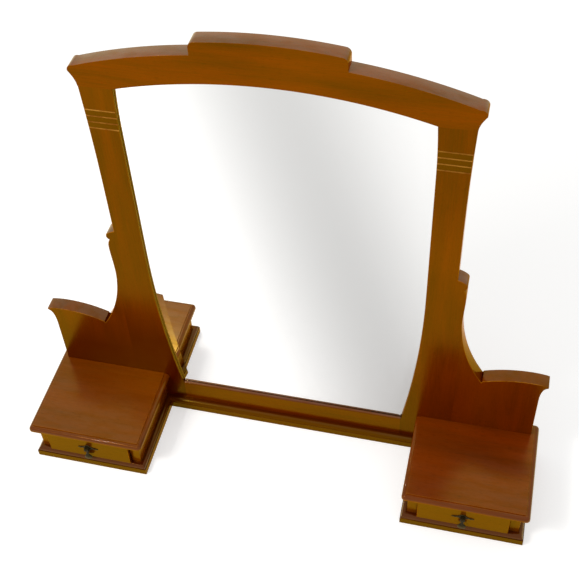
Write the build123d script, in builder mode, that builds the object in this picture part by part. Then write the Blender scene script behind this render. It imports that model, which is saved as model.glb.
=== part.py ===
# Table-top dressing mirror: an arched mirror frame between two wing panels, on a stepped base,
# with a small drawer box in front of each wing. All sizes in millimetres.
# X runs to the right, Y to the back, Z up. The origin is on the table, halfway between the
# boxes, under the front face of the mirror frame.
# Everything is worked out for the right-hand side; the left-hand pieces are mirrored from it.

from build123d import *
from math import sqrt
import os

os.makedirs("parts", exist_ok=True)

# ---- driving sizes -------------------------------------------------------------------------
board = 28                   # thickness of frame, wings and rails
half_width = 500             # middle of the piece to the outer end of a lid
past = 1                     # how far a cutter runs past the face it cuts
hair = 0.1                   # flat left over by a rounding, and room for telling edges apart

# mirror opening
sight_half = 260             # half the opening's width where its sides run straight
sight_taper = 30.6           # how far each side comes in at the opening's foot
sight_bottom = 75            # top of the bottom rail
sight_curve_start = 450      # under this height the sides curve inwards
sight_straight_end = 740
shoulder_in = 3              # how far each side leans in at the rail joint
rail_joint = 832             # height where the stiles meet the top rail
sight_rise = 36              # arch of the opening above the joint

# stiles
stile_width = 69             # opening's side to the outer edge, where the wing is glued on
corner_in = 1.4              # the stile's foot reaches this far under the opening's corner
neck_in = 17                 # how much narrower the stile is above the hook
neck_straight_end = 625
head_flare = 4.6             # how much it widens again up to the rail joint
hook_top = 505
tip_below = 7.2              # rounded tip of the hook, under its top
tip_in = 3.2
tip_round = 9.3
hook_back_round = 44         # rounded back of the hook, from its tip up to the neck
throat_below = 23.5          # throat under the tip
throat_in = 5
throat_lean = 0.8
swell_below = 47             # slight swelling under the throat
swell_out = 0.5

# top rail
horn_rise = 31               # heights over the rail joint
horn_nose = 2.4
horn_nose_rise = 3
horn_round = 2
horn_lean = 0.7              # how far the horn leans out for each millimetre it rises
shoulder_rise = 82
shoulder_bow = 956           # radius of the long curve from horn to crest
crest_half = 122
crest_step = 23              # upright end of the crest
crest_bow = 8.5              # arch of the crest's top
crest_corner = 10

# glass and what holds it
lip = 5                      # wood left in front of the glass
rebate = 8                   # width of the glass rebate
back_rebate = 20             # width of the shallow rebate for the backing board
backing = 6
glass_gap = 1.5
glass_thickness = 4
bevel_width = 23
bevel_depth = 1.3

# rounded arrises
edge_round = 1.5
sight_round = 1.2
rail_round = 4               # top of the bottom rail
small_round = 1

# wings
sweep_top = 400              # the hollow curve from stile to wing starts upright at this height
sweep_in = 1.5
sweep_radius = 310
valley_height = 234          # where the hollow curve meets the small step
step_run = 2
step_rise = 3.8
wing_top = 255.5
crown_in = 19                # highest point of the wing, inside its straight outer edge
beak_out = 11.5              # overhanging beak at the wing's outer top corner
beak_fall = 3.2
beak_thick = 5.5
beak_round = 2.85
beak_back = 0.5
beak_lean = 0.6
under_beak = (4, 17.5)       # out from the straight edge, and under the wing's top
under_beak_end = 50.5

# boxes
wall = 19
lid_inner = 260              # middle of the piece to the side of a lid that faces it
lid_front = 190
lid_top = 96
lid_thickness = 12
lid_over_outer = 15          # how far a lid hangs over the walls
lid_over_inner = 12
lid_over_front = 14
lid_step = 2                 # drop from the lid's field to its rounded edge
lid_field_inset = 9
lid_ovolo = 7
lid_corner = 8

# base
base_height = 24
base_band = 15               # plain vertical band under the base's rounded edge
base_step = 1.2              # small ledge between the band and the rounded edge
base_in_outer = 4            # how far the base stays inside the lids
base_in_front = 1
base_centre_front = 14       # front of the middle stretch

# drawers
drawer_gap = 0.6             # running room each side of a drawer
front_thickness = 16
front_round = 1.2
drawer_out = 9               # the drawer's face in front of the walls
drawer_side = 9
drawer_back = 8
drawer_end = 6               # back of a closed drawer, and depth of its stops
side_under = 1.5             # the sides stay this much under the front's top
bottom_thickness = 4
bottom_groove = 4
tail_length = 10
tail_root = 15
tail_end = 19
tail_shares = (0.27, 0.73)   # how far up a side its two dovetails stand
stop_width = 20
stop_height = 12

# pulls
pull_height = 57             # height of the pivot pin
pivot_out = 7                # pivot pin in front of the drawer's face
pin_radius = 1
pin_running = 0.05           # room round the pin in the drop's eye
pin_past = 0.6               # riveted ends of the pin
plate_thickness = 1.5
plate_half = 21.5
plate_tip = 1.5              # height of the plate's thin ends
plate_droop = 2.2            # how far the ends hang under the pivot
boss_half = 6.2              # rounded middle of the plate
boss_up = 7.5
boss_down = 8
arm_up = 3.6                 # where the thin arms leave the middle
arm_down = 4.6
nail_out = 15
nail_under = 1.6
nail_radius = 0.6
nail_length = 9
nail_head = 1.2
nail_head_height = 0.7
post_shank = 2
post_head = 4.6              # half the width of the forked head
post_up = 5
post_down = 3.8
post_nose = 2.6
post_arris = 1.2
slot_play = 0.1
slot_floor = 1.4             # metal left behind the slot
eye_radius = 3
eye_width = 5
eye_room = 0.35              # over the eye, inside the slot
stem_half = 2.3
stem_depth = 2.1             # half the drop's thickness at its stem
stem_length = 9
bell_half = 8.5
bell_depth = 4.7             # half the drop's thickness at its bell
bell_down = 24
drop_length = 27
foot_half = 4
foot_depth = 2.2
nut_size = 9
nut_thickness = 3
nut_turn = 20                # degrees off square, as tightened
shank_past = 2

# ---- worked out from the driving sizes -----------------------------------------------------
sight_bottom_half = sight_half - sight_taper
sight_shoulder = (sight_half - shoulder_in, rail_joint)
sight_top = rail_joint + sight_rise
rail_end = sight_bottom_half - corner_in
stile_edge = sight_half + stile_width
stile_neck = stile_edge - neck_in
stile_head = stile_neck + head_flare
horn = (stile_edge, rail_joint + horn_rise)
horn_top = (stile_edge - horn_nose, rail_joint + horn_rise + horn_nose_rise)
crest_foot = rail_joint + shoulder_rise
crest_end = (crest_half, crest_foot + crest_step)
crest_top = crest_foot + crest_step + crest_bow
wing_edge = half_width - lid_over_outer
sweep_middle = (stile_edge - sweep_in + sweep_radius, sweep_top)
sweep_start = (stile_edge - sweep_in, sweep_top)
sweep_meets_stile = sweep_top - sqrt(sweep_radius**2 - (sweep_middle[0] - stile_edge) ** 2)
valley = (sweep_middle[0] - sqrt(sweep_radius**2 - (sweep_top - valley_height) ** 2), valley_height)
valley_rise = (valley[0] + step_run, valley_height + step_rise)
base_outer = half_width - base_in_outer
base_inner = lid_inner
base_front = lid_front - base_in_front
base_round = base_height - base_band - hair
box_inner = lid_inner + lid_over_inner
wall_front = lid_front - lid_over_front
lid_under = lid_top - lid_thickness
field_inner = lid_inner + lid_field_inset
field_outer = half_width - lid_field_inset
cavity_inner = box_inner + wall
cavity_outer = wing_edge - wall
box_middle = (cavity_inner + cavity_outer) / 2
drawer_half = (cavity_outer - cavity_inner) / 2 - drawer_gap
drawer_face = wall_front + drawer_out
drawer_floor = base_height + drawer_gap
drawer_top = lid_under - drawer_gap
side_top = drawer_top - side_under
front_back = front_thickness - drawer_face
bottom_under = drawer_floor + bottom_groove
bottom_over = bottom_under + bottom_thickness
pivot_y = -drawer_face - pivot_out
plate_y = -drawer_face - plate_thickness
slot_back = plate_y - slot_floor
pull_face = Plane(origin=(box_middle, -drawer_face, pull_height), x_dir=(1, 0, 0), z_dir=(0, -1, 0))
nail_places = [pull_face * Location((side * nail_out, -nail_under, 0)) for side in (-1, 1)]


def above(height):
    return Plane.XY.offset(height)


def facing(depth):
    """A plane that looks to the front, this far behind the frame's face."""
    return Plane.XZ.offset(-depth)


def sight_opening(grow):
    """The mirror opening as a flat shape, made larger all round by grow."""
    with BuildSketch() as opening:
        with BuildLine():
            Line((0, sight_bottom), (sight_bottom_half, sight_bottom))
            TangentArc((sight_half, sight_curve_start), (sight_bottom_half, sight_bottom), tangent=(0, -1))
            Line((sight_half, sight_curve_start), (sight_half, sight_straight_end))
            TangentArc((sight_half, sight_straight_end), sight_shoulder, tangent=(0, 1))
            TangentArc((0, sight_top), sight_shoulder, tangent=(1, 0))
            Line((0, sight_top), (0, sight_bottom))
        make_face()
        mirror(about=Plane.YZ)
        if grow:
            offset(amount=grow, kind=Kind.INTERSECTION)
    return opening.sketch


def sight_x(height):
    """How far out the opening's side is at this height, up to where it runs straight."""
    below = max(0, sight_curve_start - height)
    run = sight_half - sight_bottom_half
    drop = sight_curve_start - sight_bottom
    radius = (drop**2 + run**2) / (2 * run)
    return sight_half - radius + sqrt(radius**2 - below**2)


def sight_z(out):
    """Height of the opening's arched top at this distance from the middle."""
    rise = sight_top - sight_shoulder[1]
    radius = (sight_shoulder[0] ** 2 + rise**2) / (2 * rise)
    return sight_top - radius + sqrt(radius**2 - out**2)


opening = sight_opening(0)
opening_to_glass = sight_opening(rebate - glass_gap)
opening_to_rebate = sight_opening(rebate)
opening_to_backing = sight_opening(back_rebate)

fixing_heights = (200, 650)
fixing_spread = 125

# places of the fixings round the glass: (x, z) on the line of the opening, and the way outwards
round_glass = [(sight_x(z), z, 1, 0) for z in fixing_heights]
round_glass += [(-x, z, -1, 0) for x, z, _, _ in round_glass]
round_glass += [(x, sight_z(x), 0, 1) for x in (-fixing_spread, fixing_spread)]
round_glass += [(x, sight_bottom, 0, -1) for x in (-fixing_spread, fixing_spread)]


with BuildPart() as glass_cut:
    with BuildSketch(Plane.XZ):
        add(opening)
    extrude(amount=-board)
    with BuildSketch(facing(lip)):
        add(opening_to_rebate)
    extrude(amount=lip - board)
    with BuildSketch(facing(board - backing)):
        add(opening_to_backing)
    extrude(amount=-backing)


def front_edges(piece, keep):
    """Edges of the front face for which keep(x, z) holds at their middle."""
    face = piece.faces().sort_by(Axis.Y)[0]
    return [edge for edge in face.edges() if keep((edge @ 0.5).X, (edge @ 0.5).Z)]


def mirrored(piece):
    """The left-hand twin of a right-hand piece."""
    with BuildPart() as twin:
        mirror(piece.part, about=Plane.YZ)
    return twin


# ---- base ----------------------------------------------------------------------------------
# One moulded shape in the plan of the whole piece, cut on the mitre into three boards. The
# rounded edge follows the front and both sides; the back is straight.
def base_plan(inset):
    with BuildSketch() as plan:
        for side in (-1, 1):
            with Locations((side * (base_inner + base_outer) / 2, board)):
                Rectangle(base_outer - base_inner - 2 * inset, base_front + board - inset,
                          align=(Align.CENTER, Align.MAX))
        with Locations((0, board)):
            Rectangle(2 * base_outer - 2 * inset, base_centre_front + board - inset,
                      align=(Align.CENTER, Align.MAX))
    return plan.sketch


with BuildPart() as base_stock:
    with BuildSketch():
        add(base_plan(0))
    extrude(amount=base_band)
    with BuildSketch(above(base_band)):
        add(base_plan(base_step))
    extrude(amount=base_height - base_band)
    moulded = base_stock.edges().group_by(Axis.Z)[-1].filter_by(lambda e: (e @ 0.5).Y < board - hair)
    fillet(moulded, radius=base_round)

mitre_right = Plane(origin=(base_inner, -base_centre_front, 0), z_dir=(1, -1, 0))
mitre_left = Plane(origin=(-base_inner, -base_centre_front, 0), z_dir=(-1, -1, 0))

# screws come up through the base into the walls, wings, stiles and bottom rail
wall_middles = (box_inner + wall / 2, wing_edge - wall / 2)
side_screws = [(x, -wall_front / 2) for x in wall_middles]
side_screws += [((stile_edge + wing_edge) / 2, board / 2)]
centre_screws = [(x, board / 2) for x in (-fixing_spread, fixing_spread)]
screw_radius = 2
screw_head = 4
screw_head_depth = 2.4
screw_length = 46
screw_sink = 1
screw_neck = screw_sink + screw_head_depth

with BuildPart() as screw_shape:
    with BuildSketch(Plane.XZ):
        with BuildLine():
            Polyline((0, screw_sink), (screw_head, screw_sink), (screw_radius, screw_neck),
                     (screw_radius, screw_length), (0, screw_length), close=True)
        make_face()
    revolve(axis=Axis.Z)

# the hole a screw sits in, open below
with BuildPart() as hole_shape:
    with BuildSketch(Plane.XZ):
        with BuildLine():
            Polyline((0, 0), (screw_head, 0), (screw_head, screw_sink), (screw_radius, screw_neck),
                     (screw_radius, screw_length), (0, screw_length), close=True)
        make_face()
    revolve(axis=Axis.Z)


def drill_side_screws():
    for x, y in side_screws:
        with Locations((x, y, 0)):
            add(hole_shape.part, mode=Mode.SUBTRACT)


with BuildPart() as base_right:
    add(base_stock.part)
    split(bisect_by=mitre_right, keep=Keep.TOP)
    drill_side_screws()

with BuildPart() as base_centre:
    add(base_stock.part)
    split(bisect_by=mitre_right, keep=Keep.BOTTOM)
    split(bisect_by=mitre_left, keep=Keep.BOTTOM)
    for x, y in centre_screws:
        with Locations((x, y, 0)):
            add(hole_shape.part, mode=Mode.SUBTRACT)

with BuildPart() as base_screws:
    for x, y in side_screws + [(-x, y) for x, y in side_screws] + centre_screws:
        with Locations((x, y, 0)):
            add(screw_shape.part)

# ---- mirror frame --------------------------------------------------------------------------
tenon_thick = 8
tenon_long = 30
tenon_play = 1               # room at the end of a mortise
stile_tenon = 30             # width of the tenon on top of a stile
rail_tenon = 28              # height of the tenon on the bottom rail
tenon_x = (sight_half + rebate + stile_neck) / 2
tenon_up = 4.5               # under the bottom rail's tenon
tenon_z = base_height + tenon_up + rail_tenon / 2

with BuildPart() as top_rail:
    with BuildSketch(Plane.XZ):
        with BuildLine():
            Line((0, rail_joint), (stile_head, rail_joint))
            Spline((stile_head, rail_joint), horn,
                   tangents=((2 * head_flare, rail_joint - neck_straight_end), (horn_lean, 1)))
            RadiusArc(horn, horn_top, -horn_round)
            RadiusArc(horn_top, (crest_half, crest_foot), -shoulder_bow)
            Line((crest_half, crest_foot), crest_end)
            TangentArc((0, crest_top), crest_end, tangent=(1, 0))
            Line((0, crest_top), (0, rail_joint))
        make_face()
        fillet(vertices().group_by(Axis.Y)[-2].filter_by(lambda v: v.X > past), radius=crest_corner)
        mirror(about=Plane.YZ)
    extrude(amount=-board)
    add(glass_cut.part, mode=Mode.SUBTRACT)
    fillet(front_edges(top_rail, lambda x, z: z > sight_z(x) + back_rebate and z > rail_joint + past),
           radius=edge_round)
    fillet(front_edges(top_rail, lambda x, z: rail_joint < z - past < sight_top and abs(x) < sight_half),
           radius=sight_round)
    for side in (-1, 1):
        with Locations((side * tenon_x, board / 2, rail_joint)):
            Box(stile_tenon, tenon_thick, tenon_long + tenon_play,
                align=(Align.CENTER, Align.CENTER, Align.MIN), mode=Mode.SUBTRACT)

with BuildPart() as bottom_rail:
    with Locations((0, 0, base_height)):
        Box(2 * rail_end, board, sight_bottom - base_height, align=(Align.CENTER, Align.MIN, Align.MIN))
    add(glass_cut.part, mode=Mode.SUBTRACT)
    fillet(front_edges(bottom_rail, lambda x, z: z > sight_bottom - past), radius=rail_round)
    with Locations((0, board / 2, tenon_z)):
        Box(2 * (rail_end + tenon_long), tenon_thick, rail_tenon)
    for x, y in centre_screws:
        with Locations((x, y, 0)):
            add(hole_shape.part, mode=Mode.SUBTRACT)

groove_below = 45.1          # first groove's top edge under the rail joint
groove_pitch = 12.5
groove_count = 4
groove_depth = 1.6
groove_width = 2.5
groove_steep = 0.5           # height of the steep upper flank

throat = (stile_edge - throat_in, hook_top - throat_below)
tip = (stile_edge - tip_in, hook_top - tip_below)

with BuildPart() as stile_right:
    with BuildSketch(Plane.XZ):
        with BuildLine():
            Line((rail_end, base_height), (stile_edge, base_height))
            Line((stile_edge, base_height), (stile_edge, sweep_meets_stile))
            RadiusArc((stile_edge, sweep_meets_stile), sweep_start, sweep_radius)
            Spline(sweep_start, (stile_edge + swell_out, hook_top - swell_below), throat,
                   tangents=((0, 1), (-throat_lean, 1)))
            RadiusArc(throat, tip, -tip_round)
            RadiusArc(tip, (stile_neck, hook_top), -hook_back_round)
            Line((stile_neck, hook_top), (stile_neck, neck_straight_end))
            TangentArc((stile_neck, neck_straight_end), (stile_head, rail_joint), tangent=(0, 1))
            Line((stile_head, rail_joint), (rail_end, rail_joint))
            Line((rail_end, rail_joint), (rail_end, base_height))
        make_face()
    extrude(amount=-board)
    add(glass_cut.part, mode=Mode.SUBTRACT)
    fillet(front_edges(stile_right, lambda x, z: x > stile_neck - past and (
        sweep_meets_stile < z < throat[1] or hook_top < z < rail_joint - past)), radius=edge_round)
    fillet(front_edges(stile_right, lambda x, z: (
        x < sight_half + past and sight_bottom < z < rail_joint - past)), radius=sight_round)
    with Locations((tenon_x, board / 2, rail_joint)):
        Box(stile_tenon, tenon_thick, tenon_long, align=(Align.CENTER, Align.CENTER, Align.MIN))
    with Locations((rail_end, board / 2, tenon_z)):
        Box(tenon_long + tenon_play, tenon_thick, rail_tenon,
            align=(Align.MIN, Align.CENTER, Align.CENTER), mode=Mode.SUBTRACT)
    with BuildSketch(Plane.YZ.offset(sight_half - back_rebate)):
        for step in range(groove_count):
            top = rail_joint - groove_below - step * groove_pitch
            with BuildLine():
                Polyline((-past, top), (0, top), (groove_depth, top - groove_steep),
                         (0, top - groove_width), (-past, top - groove_width), close=True)
            make_face()
    extrude(amount=stile_edge - sight_half + back_rebate, mode=Mode.SUBTRACT)

# ---- wings ---------------------------------------------------------------------------------
crown = (wing_edge - crown_in, wing_top)
beak = (wing_edge + beak_out, wing_top - beak_fall)
beak_under = (beak[0] - beak_back, beak[1] - beak_thick)

with BuildPart() as wing_right:
    with BuildSketch(Plane.XZ):
        with BuildLine():
            Line((stile_edge, base_height), (stile_edge, sweep_meets_stile))
            RadiusArc((stile_edge, sweep_meets_stile), valley, -sweep_radius)
            Line(valley, valley_rise)
            TangentArc(crown, valley_rise, tangent=(-1, 0))
            TangentArc(crown, beak, tangent=(1, 0))
            RadiusArc(beak, beak_under, beak_round)
            Spline(beak_under, (wing_edge + under_beak[0], wing_top - under_beak[1]),
                   (wing_edge, wing_top - under_beak_end), tangents=((-1, -beak_lean), (0, -1)))
            Line((wing_edge, wing_top - under_beak_end), (wing_edge, base_height))
            Line((wing_edge, base_height), (stile_edge, base_height))
        make_face()
    extrude(amount=-board)
    fillet(front_edges(wing_right, lambda x, z: z > valley_rise[1] and valley_rise[0] < x < beak_under[0]),
           radius=sight_round)
    drill_side_screws()

# ---- glass, its blocks and the backing board -----------------------------------------------
with BuildPart() as mirror_glass:
    with BuildSketch(facing(lip)):
        add(opening_to_glass)
    extrude(amount=-glass_thickness)
    glass_face = faces().sort_by(Axis.Y)[0]
    chamfer(glass_face.edges(), length=bevel_depth, length2=bevel_width)

block_length = 40
block_depth = 10

with BuildPart() as glazing_blocks:
    with BuildSketch(facing(lip + glass_thickness)):
        add(opening_to_rebate)
        add(opening, mode=Mode.SUBTRACT)
        with BuildSketch(mode=Mode.INTERSECT):
            for x, z, out_x, out_z in round_glass:
                with Locations((x + out_x * rebate / 2, z + out_z * rebate / 2)):
                    Rectangle(block_length if out_z else 2 * rebate, block_length if out_x else 2 * rebate)
    extrude(amount=-block_depth)

with BuildPart() as backing_board:
    with BuildSketch(facing(board - backing)):
        add(opening_to_backing)
        offset(amount=-glass_gap, mode=Mode.REPLACE)
    extrude(amount=-backing)

# ---- boxes ---------------------------------------------------------------------------------
with BuildPart() as right_wall_outer:
    with Locations((cavity_outer, 0, base_height)):
        Box(wall, wall_front, lid_under - base_height, align=(Align.MIN, Align.MAX, Align.MIN))
    fillet(right_wall_outer.edges().filter_by(Axis.Z).sort_by(Axis.Y)[:2], radius=small_round)
    drill_side_screws()

with BuildPart() as right_wall_inner:
    with Locations((box_inner, 0, base_height)):
        Box(wall, wall_front, lid_under - base_height, align=(Align.MIN, Align.MAX, Align.MIN))
    fillet(right_wall_inner.edges().filter_by(Axis.Z).sort_by(Axis.Y)[:2], radius=small_round)
    drill_side_screws()

with BuildPart() as right_lid:
    with BuildSketch(above(lid_under)):
        with BuildLine():
            Polyline((lid_inner, 0), (lid_inner, -lid_front), (half_width, -lid_front), (half_width, board),
                     (wing_edge, board), (wing_edge, 0), close=True)
        make_face()
        rounded = vertices().filter_by(lambda v: v.X < lid_inner + past or v.X > half_width - past)
        fillet(rounded, radius=lid_corner)
    extrude(amount=lid_thickness - lid_step)
    exposed = right_lid.edges().group_by(Axis.Z)[-1].filter_by(
        lambda e: not ((e @ 0.5).Y > -hair and lid_inner + lid_corner < (e @ 0.5).X < wing_edge + hair))
    fillet(exposed, radius=lid_ovolo)
    with BuildSketch(above(lid_top - lid_step)):
        with BuildLine():
            Polyline((field_inner, 0), (field_inner, lid_field_inset - lid_front),
                     (field_outer, lid_field_inset - lid_front), (field_outer, board - lid_field_inset),
                     (wing_edge, board - lid_field_inset), (wing_edge, 0), close=True)
        make_face()
    extrude(amount=lid_step)

with BuildPart() as right_drawer_stops:
    for side in (-1, 1):
        with Locations((box_middle + side * (drawer_half - stop_width), 0, base_height)):
            Box(stop_width, drawer_end, stop_height, align=(Align.CENTER, Align.MAX, Align.MIN))

# ---- drawer --------------------------------------------------------------------------------
# The sides carry dovetails at both ends: lapped ones into the front, through ones into the back.
tail_middles = [drawer_floor + (side_top - drawer_floor) * share for share in tail_shares]


with BuildPart() as tails_inner:
    for at, length in ((front_back, -tail_length), (-drawer_end - drawer_back, drawer_back)):
        with BuildSketch(Plane.YZ.offset(box_middle - drawer_half)):
            for middle in tail_middles:
                with BuildLine():
                    Polyline((at, middle - tail_root / 2), (at + length, middle - tail_end / 2),
                             (at + length, middle + tail_end / 2), (at, middle + tail_root / 2), close=True)
                make_face()
        extrude(amount=drawer_side)

with BuildPart() as tails_outer:
    mirror(tails_inner.part, about=Plane.YZ.offset(box_middle))

with BuildPart() as bottom_shape:
    with Locations((box_middle, front_back - bottom_groove, bottom_under)):
        Box(2 * (drawer_half - drawer_side + bottom_groove),
            drawer_face - front_thickness + bottom_groove - drawer_end, bottom_thickness,
            align=(Align.CENTER, Align.MIN, Align.MIN))

with BuildPart() as right_drawer_front:
    with Locations((box_middle, front_back, drawer_floor)):
        Box(2 * drawer_half, front_thickness, drawer_top - drawer_floor,
            align=(Align.CENTER, Align.MAX, Align.MIN))
    fillet(right_drawer_front.faces().sort_by(Axis.Y)[0].edges(), radius=front_round)
    add(tails_inner.part, mode=Mode.SUBTRACT)
    add(tails_outer.part, mode=Mode.SUBTRACT)
    add(bottom_shape.part, mode=Mode.SUBTRACT)
    with Locations(Plane(origin=(box_middle, front_back, pull_height), z_dir=(0, 1, 0))):
        Hole(post_shank, front_thickness)
    for place in nail_places:
        with Locations(place):
            Hole(nail_radius, nail_length - plate_thickness)

with BuildPart() as right_drawer_side_inner:
    with Locations((box_middle - drawer_half, front_back, drawer_floor)):
        Box(drawer_side, -front_back - drawer_end - drawer_back, side_top - drawer_floor,
            align=(Align.MIN, Align.MIN, Align.MIN))
    add(tails_inner.part)
    add(bottom_shape.part, mode=Mode.SUBTRACT)

with BuildPart() as right_drawer_side_outer:
    mirror(right_drawer_side_inner.part, about=Plane.YZ.offset(box_middle))

with BuildPart() as right_drawer_back:
    with Locations((box_middle, -drawer_end, bottom_over)):
        Box(2 * drawer_half, drawer_back, side_top - bottom_over,
            align=(Align.CENTER, Align.MAX, Align.MIN))
    add(tails_inner.part, mode=Mode.SUBTRACT)
    add(tails_outer.part, mode=Mode.SUBTRACT)

with BuildPart() as right_drawer_bottom:
    add(bottom_shape.part)

# ---- pull: plate, nails, forked post, nut, pin and drop ------------------------------------
with BuildPart() as right_pull_plate:
    with BuildSketch(pull_face):
        with BuildLine():
            TangentArc((0, boss_up), (boss_half, arm_up), tangent=(1, 0))
            TangentArc((plate_half, -plate_droop + plate_tip / 2), (boss_half, arm_up), tangent=(-1, 0.2))
            Line((plate_half, -plate_droop + plate_tip / 2), (plate_half, -plate_droop - plate_tip / 2))
            TangentArc((plate_half, -plate_droop - plate_tip / 2), (boss_half, -arm_down), tangent=(-1, 0))
            TangentArc((0, -boss_down), (boss_half, -arm_down), tangent=(1, 0))
            Line((0, -boss_down), (0, boss_up))
        make_face()
        mirror(about=Plane.YZ)
    extrude(amount=plate_thickness)
    with Locations(pull_face.offset(plate_thickness)):
        Hole(post_shank, plate_thickness)
    for place in nail_places:
        with Locations(place * Location((0, 0, plate_thickness))):
            Hole(nail_radius, plate_thickness)

with BuildPart() as right_pull_nails:
    for place in nail_places:
        with BuildSketch(Plane(place).offset(plate_thickness)):
            Circle(nail_head)
        extrude(amount=nail_head_height)
        with BuildSketch(Plane(place).offset(plate_thickness)):
            Circle(nail_radius)
        extrude(amount=-nail_length)

with BuildPart() as right_pull_post:
    with Locations((box_middle, plate_y, pull_height + post_up)):
        Box(2 * post_head, pivot_out - plate_thickness + eye_radius, post_up + post_down,
            align=(Align.CENTER, Align.MAX, Align.MAX))
    fillet(right_pull_post.edges().filter_by(Axis.X).sort_by(Axis.Y)[:2], radius=post_nose)
    fillet(right_pull_post.faces().sort_by(Axis.Z)[-1].edges().filter_by(Axis.Y), radius=post_arris)
    with Locations((box_middle, slot_back, pull_height + eye_radius + eye_room)):
        Box(eye_width + 2 * slot_play, 2 * pivot_out, 4 * pivot_out,
            align=(Align.CENTER, Align.MAX, Align.MAX), mode=Mode.SUBTRACT)
    with BuildSketch(facing(plate_y)):
        with Locations((box_middle, pull_height)):
            Circle(post_shank)
    extrude(amount=-(plate_thickness + front_thickness + nut_thickness + shank_past))
    with BuildSketch(Plane.YZ.offset(box_middle)):
        with Locations((pivot_y, pull_height)):
            Circle(pin_radius)
    extrude(amount=post_head, both=True, mode=Mode.SUBTRACT)

with BuildPart() as right_pull_nut:
    with BuildSketch(facing(front_back)):
        with Locations((box_middle, pull_height)):
            Rectangle(nut_size, nut_size, rotation=nut_turn)
            Circle(post_shank, mode=Mode.SUBTRACT)
    extrude(amount=-nut_thickness)

with BuildPart() as right_pull_pin:
    with BuildSketch(Plane.YZ.offset(box_middle)):
        with Locations((pivot_y, pull_height)):
            Circle(pin_radius)
    extrude(amount=post_head + pin_past, both=True)


# The drop is a bell seen from the front and a slimmer bell seen from the side: what the two
# outlines have in common.
def bell_outline(stem, bell, foot):
    with BuildSketch() as outline:
        with BuildLine():
            Line((0, 0), (stem, 0))
            Line((stem, 0), (stem, -stem_length))
            Spline((stem, -stem_length), (bell, -bell_down), tangents=((0, -1), (0, -1)))
            RadiusArc((bell, -bell_down), (foot, -drop_length), drop_length - bell_down + bell - foot)
            Line((foot, -drop_length), (0, -drop_length))
            Line((0, -drop_length), (0, 0))
        make_face()
        mirror(about=Plane.YZ)
    return outline.sketch


with BuildPart() as right_pull_drop:
    with BuildSketch(Plane(origin=(box_middle, pivot_y, pull_height), x_dir=(1, 0, 0), z_dir=(0, -1, 0))):
        add(bell_outline(stem_half, bell_half, foot_half))
    extrude(amount=bell_half, both=True)
    with BuildSketch(Plane(origin=(box_middle, pivot_y, pull_height), x_dir=(0, 1, 0), z_dir=(1, 0, 0))):
        add(bell_outline(stem_depth, bell_depth, foot_depth))
    extrude(amount=bell_half, both=True, mode=Mode.INTERSECT)
    with BuildSketch(Plane.YZ.offset(box_middle)):
        with Locations((pivot_y, pull_height)):
            Circle(eye_radius)
    extrude(amount=eye_width / 2, both=True)
    with BuildSketch(Plane.YZ.offset(box_middle)):
        with Locations((pivot_y, pull_height)):
            Circle(pin_radius + pin_running)
    extrude(amount=eye_width, both=True, mode=Mode.SUBTRACT)

# ---- backing screws ------------------------------------------------------------------------
backing_screw_radius = 1.5
backing_screw_head = 3
backing_head_depth = 1.6
backing_screw_length = 16
backing_hole = (rebate + back_rebate) / 2


def backing_screw_places():
    return [(x + out_x * backing_hole, z + out_z * backing_hole) for x, z, out_x, out_z in round_glass]


with BuildPart() as backing_screw:
    with BuildSketch(Plane.YZ):
        with BuildLine():
            Polyline((board, 0), (board, backing_screw_head),
                     (board - backing_head_depth, backing_screw_radius),
                     (board - backing_screw_length, backing_screw_radius),
                     (board - backing_screw_length, 0), close=True)
        make_face()
    revolve(axis=Axis.Y)

with BuildPart() as backing_screws:
    for x, z in backing_screw_places():
        with Locations((x, 0, z)):
            add(backing_screw.part)


def drilled(piece):
    """The piece with the backing screws' holes."""
    with BuildPart() as with_holes:
        add(piece.part)
        add(backing_screws.part, mode=Mode.SUBTRACT)
    return with_holes


top_rail = drilled(top_rail)
bottom_rail = drilled(bottom_rail)
stile_right = drilled(stile_right)
backing_board = drilled(backing_board)

# ---- names and files -----------------------------------------------------------------------
pieces = {
    "base_right": base_right,
    "base_left": mirrored(base_right),
    "base_centre": base_centre,
    "base_screws": base_screws,
    "top_rail": top_rail,
    "bottom_rail": bottom_rail,
    "stile_right": stile_right,
    "stile_left": mirrored(stile_right),
    "wing_right": wing_right,
    "wing_left": mirrored(wing_right),
    "mirror_glass": mirror_glass,
    "glazing_blocks": glazing_blocks,
    "backing_board": backing_board,
    "backing_screws": backing_screws,
}
sided = {
    "wall_outer": right_wall_outer,
    "wall_inner": right_wall_inner,
    "lid": right_lid,
    "drawer_stops": right_drawer_stops,
    "drawer_front": right_drawer_front,
    "drawer_side_inner": right_drawer_side_inner,
    "drawer_side_outer": right_drawer_side_outer,
    "drawer_back": right_drawer_back,
    "drawer_bottom": right_drawer_bottom,
    "pull_plate": right_pull_plate,
    "pull_nails": right_pull_nails,
    "pull_post": right_pull_post,
    "pull_nut": right_pull_nut,
    "pull_pin": right_pull_pin,
    "pull_drop": right_pull_drop,
}
for name, piece in sided.items():
    pieces["right_" + name] = piece
    pieces["left_" + name] = mirrored(piece)

for name, piece in pieces.items():
    piece.part.label = name
    export_step(piece.part, "parts/" + name + ".step")
print(len(pieces), "pieces written")
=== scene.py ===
# %% [markdown]
# # A dressing mirror with two drawer boxes
# This lesson dresses a table-top mirror: an arched frame of varnished wood between two wing
# boards, on a moulded base, with a small box and drawer in front of each wing. The joints, the
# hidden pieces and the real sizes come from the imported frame. Here every board that shows is
# built again as a cabinet-maker would see it: drawn, sawn, its arrises rounded and worn.

# %% Load the frame
import bpy
import bmesh
from math import asin, copysign, pi, radians, sqrt
from mathutils import Matrix, Vector
from mathutils.geometry import interpolate_bezier


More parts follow.
